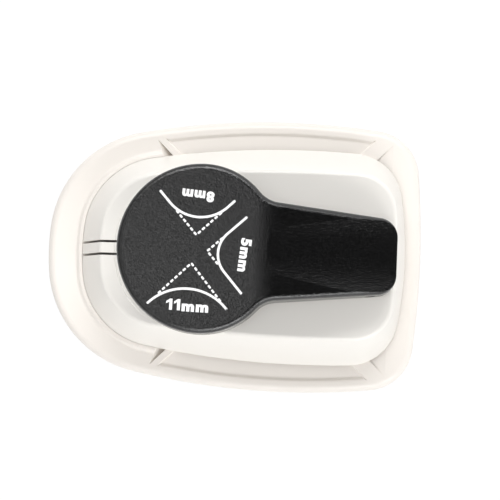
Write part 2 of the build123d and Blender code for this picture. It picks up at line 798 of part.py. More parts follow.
def make_hinge_pin():
    """Cross pin of the lever, flush with the lever's sides."""
    half_length = tail_half_width(hinge_x) + (disc_top - hinge_z) * math.tan(math.radians(lever_draft)) - CLEAR
    pin = cross_rod(hinge_x, hinge_z, -half_length, half_length, hinge_pin_radius)
    return chamfer(pin.edges().filter_by(GeomType.CIRCLE), hinge_pin_radius / 5)


def make_punch_carrier():
    """Sliding block: a hull round the punches and the three posts, with spring bores below."""
    rims = (Pos(carrier_nose_x, 0) * Circle(carrier_nose_radius)).edges()
    for name in ("left", "right"):
        rims += (Pos(*post_places[name]) * Circle(carrier_lug_radius)).edges()
    body = raised(make_hull(rims), carrier_bottom, carrier_top)
    body = fillet(body.edges().group_by(Axis.Z)[-1], carrier_edge_round)
    for place in post_places.values():
        body -= cylinder(*place, carrier_bottom - OVERRUN, carrier_top + OVERRUN, post_radius + RUN_FIT)
        body -= cylinder(*place, carrier_bottom - OVERRUN, carrier_bottom + spring_bore_depth, spring_bore_radius)
    for corner, heading, radius in corner_stations.values():
        body -= raised(punch_face(corner, heading, radius, SEAT_FIT), carrier_bottom - OVERRUN, punch_head)
    for x, y in punch_screw_places():
        body -= cylinder(x, y, carrier_bottom, carrier_top + OVERRUN, punch_screw_radius + SEAT_FIT)
        body -= cylinder(x, y, punch_screw_seat, carrier_top + OVERRUN, punch_head_radius + SEAT_FIT)
    body -= rounded_plate(
        pusher_x, wear_length + 2 * SEAT_FIT, wear_width + 2 * SEAT_FIT, wear_corner,
        carrier_top - wear_recess, carrier_top + OVERRUN,
    )
    return body


def punch_screw_places():
    """Middle of each punch's thickest part, on the diagonal of its corner."""
    places = []
    for corner, heading, radius in corner_stations.values():
        arc_reach = radius * (math.sqrt(2) - 1)
        back_reach = punch_backing * math.sqrt(2)
        shift = turned(((arc_reach - back_reach) / 2, 0), heading)
        places.append((corner[0] + shift[0], corner[1] + shift[1]))
    return places


def make_punch(name):
    """One corner punch, with the hole for its screw in its head."""
    corner, heading, radius = corner_stations[name]
    body = raised(punch_face(corner, heading, radius), punch_tip, punch_head)
    x, y = punch_screw_places()[list(corner_stations).index(name)]
    hole_depth = punch_screw_length - (punch_screw_seat - punch_head)
    return body - cylinder(x, y, punch_head - hole_depth, punch_head + OVERRUN, punch_screw_radius + SEAT_FIT)


def make_punch_screws():
    """Three screws, driven down through the carrier into the punches."""
    driven = Rot(180, 0, 0) * screw(punch_screw_radius, punch_head_radius, punch_screw_length - SEAT_FIT)
    return as_node([Pos(x, y, punch_screw_seat) * driven for x, y in punch_screw_places()])


def make_wear_plate():
    """Hard plate let into the carrier under the lever's pusher."""
    plate = rounded_plate(pusher_x, wear_length, wear_width, wear_corner, carrier_top - wear_recess, wear_top)
    return chamfer(plate.edges().group_by(Axis.Z)[-1], wear_recess / 2)


def make_die_plate():
    """Die plate, flush with the paper table, with one opening for each punch."""
    plate = rounded_plate(die_x, die_length, die_width, die_corner, die_underside, table_height)
    for corner, heading, radius in corner_stations.values():
        opening = punch_face(corner, heading, radius, RUN_FIT)
        plate -= raised(opening, die_underside - OVERRUN, table_height + OVERRUN)
    for place in die_screw_places:
        plate -= cylinder(*place, die_underside - OVERRUN, table_height + OVERRUN, die_screw_radius + SEAT_FIT)
    return plate


def make_die_screws():
    """Four screws that hold the die plate up into its bed."""
    fixing = screw(die_screw_radius, die_head_radius, die_screw_length)
    return as_node([Pos(*place, die_underside) * fixing for place in die_screw_places])


def make_stripper_plate():
    """Plate over the paper slots that guides the punches and carries the springs."""
    plate = rounded_plate(stripper_x, stripper_length, stripper_width, stripper_corner, seat_height, stripper_top)
    for corner, heading, radius in corner_stations.values():
        opening = punch_face(corner, heading, radius, RUN_FIT)
        plate -= raised(opening, seat_height - OVERRUN, stripper_top + OVERRUN)
    for place in post_places.values():
        plate -= cylinder(*place, seat_height - OVERRUN, stripper_top + OVERRUN, post_radius + SEAT_FIT)
    for place in stripper_screw_places:
        plate -= cylinder(*place, seat_height - OVERRUN, stripper_top + OVERRUN, die_screw_radius + SEAT_FIT)
    return plate


def make_stripper_screws():
    """Four screws that hold the stripper plate down on the guides."""
    fixing = Rot(180, 0, 0) * screw(die_screw_radius, die_head_radius, stripper_screw_length)
    return as_node([Pos(*place, stripper_top) * fixing for place in stripper_screw_places])


def make_guide_post(place):
    """Straight post pressed into the base, with a chamfered top."""
    post = cylinder(*place, deck_underside, housing_ceiling - post_top_gap, post_radius)
    return chamfer(post.edges().group_by(Axis.Z)[-1], post_radius / 5)


def make_return_spring(place):
    """Compression spring round a post, from the stripper plate to the bottom of the carrier's bore."""
    height = carrier_bottom + spring_bore_depth - stripper_top - spring_wire - 2 * SEAT_FIT
    path = Helix(height / spring_turns, height, spring_radius)
    start = Plane(origin=path @ 0, z_dir=path % 0)
    coil = sweep(start * RegularPolygon(spring_wire / 2, 6), path=path, is_frenet=True)
    return Pos(*place, stripper_top + spring_wire / 2 + SEAT_FIT) * coil


def make_housing_screws():
    """Four long screws, driven up from the tray's side into the housing's bosses."""
    fixing = screw(housing_screw_radius, housing_head_radius, housing_screw_length)
    return as_node([Pos(*place, deck_underside) * fixing for place in boss_places])


def make_chip_tray():
    """Bottom door with a low wall that keeps the cut corners, a finger tab and two hinge knuckles."""
    bottom = foot_standoff
    plate_top = bottom + tray_thickness
    outline = shell_face(base_outline, ledge_width + CLEAR)
    front = Pos(tray_rear_x - base_length / 2, 0) * Rectangle(base_length, base_width)
    tray = raised(outline & front, bottom, plate_top)
    wall_end = tray_rear_x - tray_side_inset
    wall_ground = Pos(wall_end - base_length / 2, 0) * Rectangle(base_length, base_width)
    bin_ground = Pos(wall_end - tray_wall - base_length / 2, 0) * Rectangle(base_length, base_width)
    wall_outline = shell_face(base_outline, ledge_width + CLEAR + tray_side_inset)
    bin_outline = shell_face(base_outline, ledge_width + CLEAR + tray_side_inset + tray_wall)
    wall = (wall_outline & wall_ground) - (bin_outline & bin_ground)
    tray += raised(wall, bottom, plate_top + tray_depth)
    for side in (1, -1):
        middle = side * knuckle_spacing / 2
        y_ends = (middle - knuckle_width / 2, middle + knuckle_width / 2)
        tray += cross_rod(tray_hinge_x, tray_hinge_z, *y_ends, knuckle_radius)
        tray += block(wall_end - tray_wall, tray_hinge_x, *y_ends, bottom, tray_hinge_z)
    tab_reach = base_outline.nose_x + finger_notch_radius * head_height_share
    tab = block(tab_reach, base_outline.nose_x + ledge_width + tray_wall * 2, -finger_notch_radius / 2,
                finger_notch_radius / 2, bottom, plate_top)
    tab = fillet(tab.edges().filter_by(Axis.Z).group_by(Axis.X)[0], tray_wall)
    tray += tab
    return tray - cross_rod(tray_hinge_x, tray_hinge_z, -bar_end_y, bar_end_y, tray_pin_radius + RUN_FIT)


def make_tray_pin():
    """Hinge pin of the chip tray, held by the base's hinge bar."""
    return cross_rod(tray_hinge_x, tray_hinge_z, -bar_end_y, bar_end_y, tray_pin_radius)


def make_foot(place):
    """Rubber foot, set into the ledge."""
    foot = cylinder(*place, 0, foot_standoff + foot_recess, foot_radius)
    return fillet(foot.edges().group_by(Axis.Z)[0], foot_edge_round)


nodes = {
    "base_frame": make_base_frame(),
    "upper_housing": make_upper_housing(),
    "press_lever": make_press_lever(),
    "hinge_pin": make_hinge_pin(),
    "punch_carrier": make_punch_carrier(),
    "wear_plate": make_wear_plate(),
    "punch_screws": make_punch_screws(),
    "die_plate": make_die_plate(),
    "die_screws": make_die_screws(),
    "stripper_plate": make_stripper_plate(),
    "stripper_screws": make_stripper_screws(),
    "housing_screws": make_housing_screws(),
    "chip_tray": make_chip_tray(),
    "tray_pin": make_tray_pin(),
}
for punch_name in corner_stations:
    nodes[punch_name] = make_punch(punch_name)
for post_name, post_place in post_places.items():
    nodes["guide_post_" + post_name] = make_guide_post(post_place)
    nodes["return_spring_" + post_name] = make_return_spring(post_place)
for (foot_end, foot_side), foot_place in foot_places.items():
    nodes["foot_" + foot_end + "_" + foot_side] = make_foot(foot_place)

for node_name, node in nodes.items():
    export_step(node, "parts/" + node_name + ".step")
    print(node_name, len(node.solids()), round(node.volume, 1))
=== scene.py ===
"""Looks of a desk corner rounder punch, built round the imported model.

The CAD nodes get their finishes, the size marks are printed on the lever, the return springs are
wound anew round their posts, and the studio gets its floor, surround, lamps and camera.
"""

import json
import logging
import math
from dataclasses import dataclass, field
from enum import Enum

import bmesh
import bpy
from mathutils import Matrix, Vector

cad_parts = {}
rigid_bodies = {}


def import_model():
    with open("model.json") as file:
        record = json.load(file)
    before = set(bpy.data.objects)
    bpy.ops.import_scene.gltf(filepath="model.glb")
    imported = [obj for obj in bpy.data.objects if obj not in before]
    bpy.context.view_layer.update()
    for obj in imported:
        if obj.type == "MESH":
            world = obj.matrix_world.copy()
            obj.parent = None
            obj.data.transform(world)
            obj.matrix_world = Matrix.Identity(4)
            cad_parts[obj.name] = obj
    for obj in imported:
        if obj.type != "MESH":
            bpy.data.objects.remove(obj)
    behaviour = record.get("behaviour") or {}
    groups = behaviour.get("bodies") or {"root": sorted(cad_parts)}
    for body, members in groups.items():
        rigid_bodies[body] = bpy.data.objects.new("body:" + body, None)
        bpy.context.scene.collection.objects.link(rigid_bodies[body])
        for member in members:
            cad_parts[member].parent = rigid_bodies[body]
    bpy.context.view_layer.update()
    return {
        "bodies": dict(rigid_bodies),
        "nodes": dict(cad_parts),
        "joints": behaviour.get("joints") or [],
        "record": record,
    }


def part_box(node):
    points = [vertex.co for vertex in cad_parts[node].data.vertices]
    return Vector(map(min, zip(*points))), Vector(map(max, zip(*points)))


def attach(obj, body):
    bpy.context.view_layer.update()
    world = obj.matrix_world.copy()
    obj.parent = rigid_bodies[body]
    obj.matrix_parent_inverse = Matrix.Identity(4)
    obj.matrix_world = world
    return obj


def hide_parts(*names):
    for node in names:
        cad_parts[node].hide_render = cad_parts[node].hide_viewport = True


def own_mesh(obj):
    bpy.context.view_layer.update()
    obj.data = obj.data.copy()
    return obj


MM = 0.001
PURE_BLACK = (0.0, 0.0, 0.0)
PURE_WHITE = (1.0, 1.0, 1.0)

log = logging.getLogger("corner_rounder")


class Body(Enum):
    """Bodies that the new pieces ride on, by the names that the frame gives them."""

    BASE = "base"
    LEVER = "lever"


class Slot(Enum):
    """Material slots of the record."""

    CREAM = "cream_plastic"
    WHITE = "white_plastic"
    BLACK = "black_plastic"
    GREY = "grey_plastic"
    TRAY = "tray_plastic"
    TOOL_STEEL = "tool_steel"
    POLISHED = "polished_steel"
    SPRING = "spring_steel"
    ZINC = "zinc_screw"
    RUBBER = "rubber_foot"


@dataclass(frozen=True)
class Octaves:
    """Layers of a noise pattern.

    Attributes:
        count: how many layers there are.
        fine_share: weight of each finer layer against the one before it.
    """

    count: float
    fine_share: float


CLOUD_OCTAVES = Octaves(count=3.0, fine_share=0.5)
GRAIN_OCTAVES = Octaves(count=2.0, fine_share=0.55)
SMEAR_OCTAVES = Octaves(count=4.0, fine_share=0.6)
MARK_OCTAVES = Octaves(count=4.0, fine_share=0.6)


class NodeGraph:
    """Fills the node tree of a material or of the surround."""

    def __init__(self, tree: bpy.types.NodeTree) -> None:
        """Starts from an empty tree.

        Args:
            tree: the tree to fill.
        """
        self.tree = tree
        self.tree.nodes.clear()

    def add(self, kind: str, **settings: object) -> bpy.types.Node:
        """Adds a node and sets its properties and unlinked inputs.

        Args:
            kind: the node's type name.
            settings: property names, or input names with spaces written as underscores.

        Returns:
            The new node.
        """
        node = self.tree.nodes.new(kind)
        for key, value in settings.items():
            if hasattr(node, key) and key not in node.inputs:
                setattr(node, key, value)
            else:
                node.inputs[key.replace("_", " ")].default_value = value
        return node

    def link(self, source: bpy.types.NodeSocket, target: bpy.types.NodeSocket) -> None:
        """Joins two sockets."""
        self.tree.links.new(source, target)

    def noise(self, sizes: tuple[float, float, float], octaves: Octaves) -> bpy.types.NodeSocket:
        """A noise pattern on object coordinates.

        Args:
            sizes: length of a feature along each axis, in metres.
            octaves: the pattern's layers.

        Returns:
            The pattern's value.
        """
        coordinates = self.add("ShaderNodeTexCoord")
        mapping = self.add("ShaderNodeMapping", Scale=tuple(1 / size for size in sizes))
        layers = {"Detail": octaves.count, "Roughness": octaves.fine_share}
        pattern = self.add("ShaderNodeTexNoise", Scale=1.0, **layers)
        self.link(coordinates.outputs["Object"], mapping.inputs["Vector"])
        self.link(mapping.outputs["Vector"], pattern.inputs["Vector"])
        return pattern.outputs["Fac"]

    def band(
        self,
        source: bpy.types.NodeSocket,
        low: float,
        high: float,
        span: tuple[float, float] = (0.0, 1.0),
        soft: bool = False,
    ) -> bpy.types.NodeSocket:
        """Maps a value to a range.

        Args:
            source: the value.
            low: result at the span's start.
            high: result at the span's end.
            span: the values between which the result changes.
            soft: whether it eases in and out of the change.

        Returns:
            The mapped value.
        """
        node = self.add("ShaderNodeMapRange", interpolation_type="SMOOTHSTEP" if soft else "LINEAR")
        node.inputs["From Min"].default_value, node.inputs["From Max"].default_value = span
        node.inputs["To Min"].default_value = low
        node.inputs["To Max"].default_value = high
        self.link(source, node.inputs["Value"])
        return node.outputs["Result"]

    def combine(
        self, operation: str, first: bpy.types.NodeSocket, second: bpy.types.NodeSocket | float
    ) -> bpy.types.NodeSocket:
        """Works out one value of two.

        Args:
            operation: the math node's operation.
            first: a value.
            second: another value, or a fixed number.

        Returns:
            The result.
        """
        node = self.add("ShaderNodeMath", operation=operation)
        self.link(first, node.inputs[0])
        if isinstance(second, bpy.types.NodeSocket):
            self.link(second, node.inputs[1])
        else:
            node.inputs[1].default_value = second
        return node.outputs["Value"]

    def shade(self, source: bpy.types.NodeSocket, first: tuple, second: tuple) -> bpy.types.NodeSocket:
        """Blends two colours by a value.

        Args:
            source: the blend value.
            first: linear colour at 0.
            second: linear colour at 1.

        Returns:
            The blended colour.
        """
        node = self.add("ShaderNodeMix", data_type="RGBA")
        colours = [socket for socket in node.inputs if socket.type == "RGBA"]
        colours[0].default_value = (*first, 1.0)
        colours[1].default_value = (*second, 1.0)
        self.link(source, node.inputs["Factor"])
        return [socket for socket in node.outputs if socket.type == "RGBA"][0]

    def end_surface(
        self,
        colour: bpy.types.NodeSocket,
        roughness: bpy.types.NodeSocket,
        relief: bpy.types.NodeSocket,
        depth: float,
        **settings: float,
    ) -> None:
        """Ends a material with a Principled surface and a fine relief.

        Args:
            colour: the surface's colour.
            roughness: its roughness.
            relief: the pattern of its relief.
            depth: the relief's height in metres.
            settings: fixed inputs of the Principled shader, named as for add.
        """
        bump = self.add("ShaderNodeBump", Strength=1.0, Distance=depth)
        shader = self.add("ShaderNodeBsdfPrincipled", **settings)
        output = self.add("ShaderNodeOutputMaterial")
        self.link(relief, bump.inputs["Height"])
        self.link(colour, shader.inputs["Base Color"])
        self.link(roughness, shader.inputs["Roughness"])
        self.link(bump.outputs["Normal"], shader.inputs["Normal"])
        self.link(shader.outputs["BSDF"], output.inputs["Surface"])


def new_material(name: str) -> tuple[bpy.types.Material, NodeGraph]:
    """Makes an empty material.

    Args:
        name: the material's name.

    Returns:
        The material, and the graph that fills its node tree.
    """
    material = bpy.data.materials.new(name)
    material.use_nodes = True
    return material, NodeGraph(material.node_tree)


@dataclass(frozen=True)
class MouldedPlastic:
    """Injection moulded plastic: an even colour with faint flow clouds, a fine grain with painted shade in
    its hollows where set, and a soft gloss.

    Attributes:
        name: material name.
        colour: linear base colour.
        cloud: share by which the colour darkens in flow clouds.
        roughness: mean roughness.
        gloss_spread: how far the roughness wanders.
        grain_size: size of a grain in metres.
        grain_depth: height of the grain in metres.
        specular: specular level.
        cloud_size: size of a flow cloud in metres.
        smear_size: size of a patch of even gloss in metres.
        grain_hollow_shade: share of painted shade by which the colour darkens in the grain's hollows, where
            the relief is low.
        grain_hollow_shade_span: grain heights between which the painted shade fades out.
    """

    name: str
    colour: tuple[float, float, float]
    cloud: float
    roughness: float
    gloss_spread: float
    grain_size: float
    grain_depth: float
    specular: float = 0.5
    cloud_size: float = 14 * MM
    smear_size: float = 14 * MM / 3
    grain_hollow_shade: float = 0.0
    grain_hollow_shade_span: tuple[float, float] = (0.38, 0.62)

    def build(self) -> bpy.types.Material:
        """Makes the material.

        Returns:
            The material.
        """
        material, graph = new_material(self.name)
        clouds = graph.noise((self.cloud_size,) * 3, CLOUD_OCTAVES)
        grain = graph.noise((self.grain_size,) * 3, GRAIN_OCTAVES)
        smears = graph.noise((self.smear_size,) * 3, SMEAR_OCTAVES)
        cloud_shade = graph.band(clouds, 0.0, self.cloud)
        # Painted shade: the colour darkens in the grain's hollows, where its relief is low.
        painted_hollow_shade = graph.band(grain, self.grain_hollow_shade, 0.0, self.grain_hollow_shade_span)
        colour = graph.shade(graph.combine("MAXIMUM", cloud_shade, painted_hollow_shade), self.colour, PURE_BLACK)
        roughness = graph.band(smears, self.roughness - self.gloss_spread, self.roughness + self.gloss_spread)
        graph.end_surface(colour, roughness, grain, self.grain_depth, Specular_IOR_Level=self.specular)
        return material


@dataclass(frozen=True)
class BareMetal:
    """Ground, drawn or plated steel with fine marks along one axis.

    Attributes:
        name: material name.
        colour: linear base colour.
        roughness: mean roughness.
        mark_length: length of a grinding mark in metres.
        mark_width: width of a grinding mark in metres.
        mark_depth: height of the marks in metres.
        dull_share: brightness of the dullest mark, as a share of the colour.
        gloss_share: how far the roughness wanders, as a share of it.
    """

    name: str
    colour: tuple[float, float, float]
    roughness: float
    mark_length: float
    mark_width: float
    mark_depth: float
    dull_share: float = 0.82
    gloss_share: float = 0.3

    def build(self) -> bpy.types.Material:
        """Makes the material.

        Returns:
            The material.
        """
        material, graph = new_material(self.name)
        marks = graph.noise((self.mark_length, self.mark_width, self.mark_width), MARK_OCTAVES)
        dull = tuple(channel * self.dull_share for channel in self.colour)
        colour = graph.shade(marks, self.colour, dull)
        smoothest = self.roughness * (1 - self.gloss_share)
        roughest = self.roughness * (1 + self.gloss_share)
        roughness = graph.band(marks, smoothest, roughest)
        graph.end_surface(colour, roughness, marks, self.mark_depth, Metallic=1.0)
        return material


FINISHES: dict[Slot, MouldedPlastic | BareMetal] = {
    Slot.CREAM: MouldedPlastic(
        name="cream_moulding",
        colour=(0.85, 0.805, 0.755),
        cloud=0.02,
        roughness=0.36,
        gloss_spread=0.05,
        grain_size=0.25 * MM,
        grain_depth=0.004 * MM,
    ),
    Slot.WHITE: MouldedPlastic(
        name="white_moulding",
        colour=(0.865, 0.84, 0.795),
        cloud=0.02,
        roughness=0.32,
        gloss_spread=0.05,
        grain_size=0.25 * MM,
        grain_depth=0.003 * MM,
    ),
    Slot.BLACK: MouldedPlastic(
        name="black_grained_moulding",
        colour=(0.0045, 0.0045, 0.0047),
        cloud=0.12,
        roughness=0.21,
        gloss_spread=0.03,
        grain_size=0.45 * MM,
        grain_depth=0.11 * MM,
        specular=0.7,
        grain_hollow_shade=0.95,
    ),
    Slot.GREY: MouldedPlastic(
        name="grey_filled_moulding",
        colour=(0.05, 0.053, 0.057),
        cloud=0.15,
        roughness=0.45,
        gloss_spread=0.06,
        grain_size=0.3 * MM,
        grain_depth=0.01 * MM,
    ),
    Slot.TRAY: MouldedPlastic(
        name="cream_tray_moulding",
        colour=(0.80, 0.755, 0.70),
        cloud=0.03,
        roughness=0.42,
        gloss_spread=0.05,
        grain_size=0.3 * MM,
        grain_depth=0.008 * MM,
    ),
    Slot.RUBBER: MouldedPlastic(
        name="foot_rubber",
        colour=(0.012, 0.012, 0.012),
        cloud=0.2,
        roughness=0.75,
        gloss_spread=0.08,
        grain_size=0.3 * MM,
        grain_depth=0.02 * MM,
        specular=0.3,
    ),
    Slot.TOOL_STEEL: BareMetal(
        name="ground_tool_steel",
        colour=(0.42, 0.42, 0.41),
        roughness=0.32,
        mark_length=6 * MM,
        mark_width=0.12 * MM,
        mark_depth=0.002 * MM,
    ),
    Slot.POLISHED: BareMetal(
        name="polished_pin_steel",
        colour=(0.56, 0.56, 0.55),
        roughness=0.2,
        mark_length=4 * MM,
        mark_width=0.1 * MM,
        mark_depth=0.001 * MM,
    ),
    Slot.SPRING: BareMetal(
        name="drawn_spring_wire",
        colour=(0.36, 0.36, 0.36),
        roughness=0.3,
        mark_length=3 * MM,
        mark_width=0.08 * MM,
        mark_depth=0.001 * MM,
    ),
    Slot.ZINC: BareMetal(
        name="zinc_plate",
        colour=(0.5, 0.51, 0.5),
        roughness=0.36,
        mark_length=1.5 * MM,
        mark_width=0.3 * MM,
        mark_depth=0.002 * MM,
    ),
}

PRINT_INK = MouldedPlastic(
    name="white_print_ink",
    colour=(0.93, 0.93, 0.93),
    cloud=0.06,
    roughness=0.55,
    gloss_spread=0.05,
    grain_size=0.12 * MM,
    grain_depth=0.004 * MM,
)


class Workbench:
    """Turns bmesh work into named objects that ride on a body."""

    def __init__(self, materials: dict[Slot, bpy.types.Material]) -> None:
        """Keeps the finishes.

        Args:
            materials: one material for each slot of the record.
        """
        self.materials = materials

    def add(
        self, name: str, mesh: bmesh.types.BMesh, body: Body, material: bpy.types.Material, slot: Slot
    ) -> bpy.types.Object:
        """Makes an object of a bmesh and lets it ride.

        Args:
            name: the piece's name.
            mesh: the finished shape, in metres, in place. It is freed here.
            body: the body that it rides on.
            material: its finish.
            slot: the record's slot that the finish belongs to; it is not used.

        Returns:
            The new object.
        """
        data = bpy.data.meshes.new(name)
        mesh.to_mesh(data)
        mesh.free()
        piece = bpy.data.objects.new(name, data)
        bpy.context.scene.collection.objects.link(piece)
        data.materials.append(material)
        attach(piece, body.value)
        log.info("%s: %d faces on %s", name, len(data.polygons), body.value)
        return piece


@dataclass(frozen=True)
class SizeMark:
    """One printed size mark: two legs from a corner, the arc between them and its number.

    Attributes:
        label: the plain number with its unit.
        corner: the corner's place, from the disc's middle.
        ends: ends of the two legs, the one turned anticlockwise first.
        touch: how far from the corner the arc leaves the legs.
        dash_reach: how far from the corner the legs are dashed.
        text_place: middle of the number, from the disc's middle.
        text_turn: the number's turn in degrees.
        text_size: length and height of the number.
    """

    label: str
    corner: tuple[float, float]
    ends: tuple[tuple[float, float], tuple[float, float]]
    touch: float
    dash_reach: float
    text_place: tuple[float, float]
    text_turn: float
    text_size: tuple[float, float]


SIZE_MARKS = (
    SizeMark(
        label="8mm",
        corner=(-1.46 * MM, 3.6 * MM),
        ends=((-11.2 * MM, 15.6 * MM), (9.0 * MM, 12.8 * MM)),
        touch=11.3 * MM,
        dash_reach=9.3 * MM,
        text_place=(-0.95 * MM, 14.2 * MM),
        text_turn=173,
        text_size=(8.7 * MM, 2.9 * MM),
    ),
    SizeMark(
        label="5mm",
        corner=(1.48 * MM, -0.75 * MM),
        ends=((12.2 * MM, 8.4 * MM), (10.7 * MM, -12.3 * MM)),
        touch=7.2 * MM,
        dash_reach=5.9 * MM,
        text_place=(11.5 * MM, -1.85 * MM),
        text_turn=-98,
        text_size=(9.0 * MM, 2.9 * MM),
    ),
    SizeMark(
        label="11mm",
        corner=(-2.8 * MM, -4.0 * MM),
        ends=((6.55 * MM, -16.3 * MM), (-14.7 * MM, -14.8 * MM)),
        touch=15.7 * MM,
        dash_reach=13.2 * MM,
        text_place=(-3.9 * MM, -15.4 * MM),
        text_turn=-3.5,
        text_size=(11.4 * MM, 3.2 * MM),
    ),
)


def raise_faces(
    mesh: bmesh.types.BMesh, faces: list[bmesh.types.BMFace], height: float
) -> list[bmesh.types.BMVert]:
    """Extrudes flat faces upwards.

    Args:
        mesh: the mesh that the faces belong to.
        faces: the flat faces.
        height: how far they rise.

    Returns:
        The corners of the raised faces.
    """
    grown = bmesh.ops.extrude_face_region(mesh, geom=faces)["geom"]
    raised = [item for item in grown if isinstance(item, bmesh.types.BMVert)]
    bmesh.ops.translate(mesh, vec=(0, 0, height), verts=raised)
    return raised


@dataclass
class NumberSetter:
    """Sets short labels as flat bold letters, one unit of digit height, left to right from the origin.

    Attributes:
        weight: how far the letters are fattened, in digit heights.
        gap: gap between two letters, in digit heights.
        thickness: thickness of the letters, before a mark gives them its own.
        one_outline: outline of the digit one, a bar with a flag, in digit heights.
    """

    weight: float = 0.055
    gap: float = 0.12
    thickness: float = 1.0
    one_outline: tuple[tuple[float, float], ...] = (
        (0.32, 0.0), (0.55, 0.0), (0.55, 1.0), (0.36, 1.0), (0.08, 0.76), (0.08, 0.56), (0.32, 0.72)
    )

    def set_label(self, label: str) -> bmesh.types.BMesh:
        """Sets a label.

        Args:
            label: digits and small letters.

        Returns:
            The letters as one bmesh.
        """
        letters = bmesh.new()
        digit_height = self.height_of(self.font_letter("8"))
        cursor = 0.0
        for sign in label:
            if sign == "1":
                letter = self.digit_one()
            else:
                letter = self.font_letter(sign)
                bmesh.ops.scale(letter, vec=(1 / digit_height, 1 / digit_height, 1), verts=letter.verts)
            start = min(vert.co.x for vert in letter.verts)
            bmesh.ops.translate(letter, vec=(cursor - start, 0, 0), verts=letter.verts)
            cursor = max(vert.co.x for vert in letter.verts) + self.gap
            data = bpy.data.meshes.new("letter")
            letter.to_mesh(data)
            letter.free()
            letters.from_mesh(data)
            bpy.data.meshes.remove(data)
        return letters

    def digit_one(self) -> bmesh.types.BMesh:
        """The digit one, raised from its outline, because the font's has no flag.

        Returns:
            The digit.
        """
        letter = bmesh.new()
        face = letter.faces.new([letter.verts.new((x, y, 0)) for x, y in self.one_outline])
        raise_faces(letter, [face], self.thickness)
        bmesh.ops.recalc_face_normals(letter, faces=letter.faces)
        return letter

    def font_letter(self, sign: str) -> bmesh.types.BMesh:
        """A letter of the built-in font on its base line.

        Args:
            sign: the letter.

        Returns:
            The letter.
        """
        curve = bpy.data.curves.new("letter", type="FONT")
        curve.body = sign
        curve.offset = self.weight
        curve.extrude = self.thickness / 2
        setter = bpy.data.objects.new("letter", curve)
        bpy.context.scene.collection.objects.link(setter)
        bpy.context.view_layer.update()
        data = bpy.data.meshes.new_from_object(setter)
        letter = bmesh.new()
        letter.from_mesh(data)
        bpy.data.objects.remove(setter)
        bpy.data.curves.remove(curve)
        bpy.data.meshes.remove(data)
        bmesh.ops.translate(letter, vec=(0, 0, self.thickness / 2), verts=letter.verts)
        return letter

    def height_of(self, letter: bmesh.types.BMesh) -> float:
        """Height of a letter.

        Args:
            letter: the letter. It is freed here.

        Returns:
            Its height.
        """
        rows = [vert.co.y for vert in letter.verts]
        letter.free()
        return max(rows) - min(rows)


